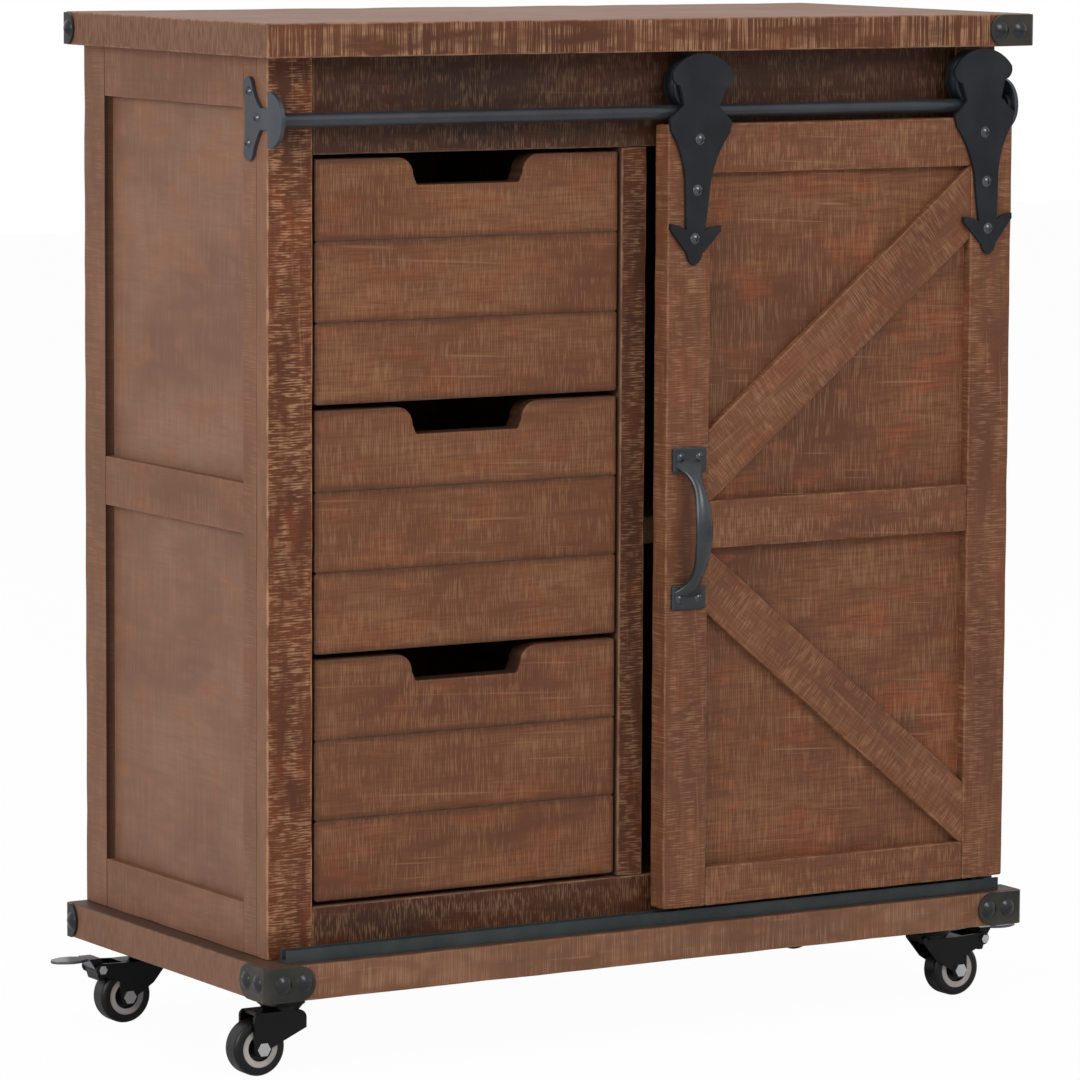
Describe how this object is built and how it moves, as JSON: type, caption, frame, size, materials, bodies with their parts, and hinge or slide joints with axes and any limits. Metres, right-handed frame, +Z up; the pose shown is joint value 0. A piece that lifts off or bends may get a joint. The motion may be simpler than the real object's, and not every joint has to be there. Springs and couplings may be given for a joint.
{
  "type": "rolling cabinet with sliding barn door",
  "caption": "Low framed timber cabinet on swivel casters, with stacked drawers beside a compartment behind a braced door that slides on a round rail.",
  "frame": {"origin": "on the floor, under the middle of the whole object", "axes": "+Z up, +X to the right and +Y to the back for someone who faces the drawers and the door"},
  "size_m": [0.7025, 0.3326, 0.736],
  "materials": {
    "case_wood": "rough-sawn stained pine, worn edges",
    "front_wood": "rough-sawn stained pine, matt",
    "inner_wood": "plain planed wood, matt",
    "black_iron": "black powder coat, satin",
    "zinc_steel": "zinc plated",
    "tyre_rubber": "black soft tread",
    "wheel_plastic": "moulded"
  },
  "bodies": {
    "root": {"top_board": "case_wood", "base_board": "case_wood", "left_side_frame": "case_wood", "left_side_panels": "case_wood", "right_side_frame": "case_wood", "right_side_panels": "case_wood", "frame_left_stile": "case_wood", "frame_centre_stile": "case_wood", "frame_right_stile": "case_wood", "frame_top_rail": "case_wood", "frame_bottom_rail": "case_wood", "partition": "inner_wood", "shelf": "inner_wood", "floor_boards": "inner_wood", "back_panel": "case_wood", "drawer_runners": "inner_wood", "rail_rod": "black_iron", "rail_brackets": "black_iron", "case_screws": "black_iron", "guide_channel": "black_iron", "corner_brackets": "black_iron", "corner_rivets": "black_iron", "caster_plates": "black_iron"},
    "drawer_top": {"drawer_top_front": "front_wood", "drawer_top_box": "inner_wood", "drawer_top_bottom": "inner_wood"},
    "drawer_middle": {"drawer_middle_front": "front_wood", "drawer_middle_box": "inner_wood", "drawer_middle_bottom": "inner_wood"},
    "drawer_bottom": {"drawer_bottom_front": "front_wood", "drawer_bottom_box": "inner_wood", "drawer_bottom_bottom": "inner_wood"},
    "door": {"door_stiles": "front_wood", "door_rails": "front_wood", "door_panel": "front_wood", "door_braces": "front_wood", "door_straps": "black_iron", "door_handle": "black_iron", "door_screws": "black_iron", "door_pins": "black_iron"},
    "roller_left": {"roller_left": "black_iron"},
    "roller_right": {"roller_right": "black_iron"},
    "caster_front_left": {"caster_front_left_fork": "black_iron", "caster_front_left_bolts": "zinc_steel"},
    "wheel_front_left": {"caster_front_left_tyre": "tyre_rubber", "caster_front_left_wheel": "wheel_plastic"},
    "caster_front_right": {"caster_front_right_fork": "black_iron", "caster_front_right_bolts": "zinc_steel"},
    "wheel_front_right": {"caster_front_right_tyre": "tyre_rubber", "caster_front_right_wheel": "wheel_plastic"},
    "brake_front_right": {"caster_front_right_pedal": "black_iron"},
    "caster_rear_left": {"caster_rear_left_fork": "black_iron", "caster_rear_left_bolts": "zinc_steel"},
    "wheel_rear_left": {"caster_rear_left_tyre": "tyre_rubber", "caster_rear_left_wheel": "wheel_plastic"},
    "brake_rear_left": {"caster_rear_left_pedal": "black_iron"},
    "caster_rear_right": {"caster_rear_right_fork": "black_iron", "caster_rear_right_bolts": "zinc_steel"},
    "wheel_rear_right": {"caster_rear_right_tyre": "tyre_rubber", "caster_rear_right_wheel": "wheel_plastic"}
  },
  "joints": [
    {"name": "drawer_top_slide", "type": "slide", "parent": "root", "child": "drawer_top", "axis": [0, -1, 0], "range_m": [0, 0.17]},
    {"name": "drawer_middle_slide", "type": "slide", "parent": "root", "child": "drawer_middle", "axis": [0, -1, 0], "range_m": [0, 0.17]},
    {"name": "drawer_bottom_slide", "type": "slide", "parent": "root", "child": "drawer_bottom", "axis": [0, -1, 0], "range_m": [0, 0.17]},
    {"name": "door_slide", "type": "slide", "parent": "root", "child": "door", "axis": [1, 0, 0], "range_m": [-0.3, 0]},
    {"name": "roller_left_spin", "type": "hinge", "parent": "door", "child": "roller_left", "pos_m": [0.0325, -0.1295, 0.6885], "axis": [0, 1, 0], "range_deg": [-1211, 1]},
    {"name": "roller_right_spin", "type": "hinge", "parent": "door", "child": "roller_right", "pos_m": [0.277, -0.1295, 0.6885], "axis": [0, 1, 0], "range_deg": [-1211, 1]},
    {"name": "caster_front_left_swivel", "type": "hinge", "parent": "root", "child": "caster_front_left", "pos_m": [-0.285, -0.0975, 0.047], "axis": [0, 0, 1], "continuous": true},
    {"name": "wheel_front_left_spin", "type": "hinge", "parent": "caster_front_left", "child": "wheel_front_left", "pos_m": [-0.306, -0.0975, 0.02], "axis": [0, 1, 0], "continuous": true},
    {"name": "caster_front_right_swivel", "type": "hinge", "parent": "root", "child": "caster_front_right", "pos_m": [0.2685, -0.0975, 0.047], "axis": [0, 0, 1], "continuous": true},
    {"name": "wheel_front_right_spin", "type": "hinge", "parent": "caster_front_right", "child": "wheel_front_right", "pos_m": [0.2895, -0.0975, 0.02], "axis": [0, 1, 0], "continuous": true},
    {"name": "brake_front_right_press", "type": "hinge", "parent": "caster_front_right", "child": "brake_front_right", "pos_m": [0.3115, -0.0975, 0.042], "axis": [0, 1, 0], "range_deg": [0, 12]},
    {"name": "caster_rear_left_swivel", "type": "hinge", "parent": "root", "child": "caster_rear_left", "pos_m": [-0.278, 0.1185, 0.047], "axis": [0, 0, 1], "continuous": true},
    {"name": "wheel_rear_left_spin", "type": "hinge", "parent": "caster_rear_left", "child": "wheel_rear_left", "pos_m": [-0.299, 0.1185, 0.02], "axis": [0, 1, 0], "continuous": true},
    {"name": "brake_rear_left_press", "type": "hinge", "parent": "caster_rear_left", "child": "brake_rear_left", "pos_m": [-0.321, 0.1185, 0.042], "axis": [0, -1, 0], "range_deg": [0, 12]},
    {"name": "caster_rear_right_swivel", "type": "hinge", "parent": "root", "child": "caster_rear_right", "pos_m": [0.269, 0.1185, 0.047], "axis": [0, 0, 1], "continuous": true},
    {"name": "wheel_rear_right_spin", "type": "hinge", "parent": "caster_rear_right", "child": "wheel_rear_right", "pos_m": [0.29, 0.1185, 0.02], "axis": [0, 1, 0], "continuous": true}
  ],
  "couplings": [
    {"joint": "roller_left_spin", "follows": "door_slide", "rad_per_m": 70.42},
    {"joint": "roller_right_spin", "follows": "door_slide", "rad_per_m": 70.42}
  ]
}
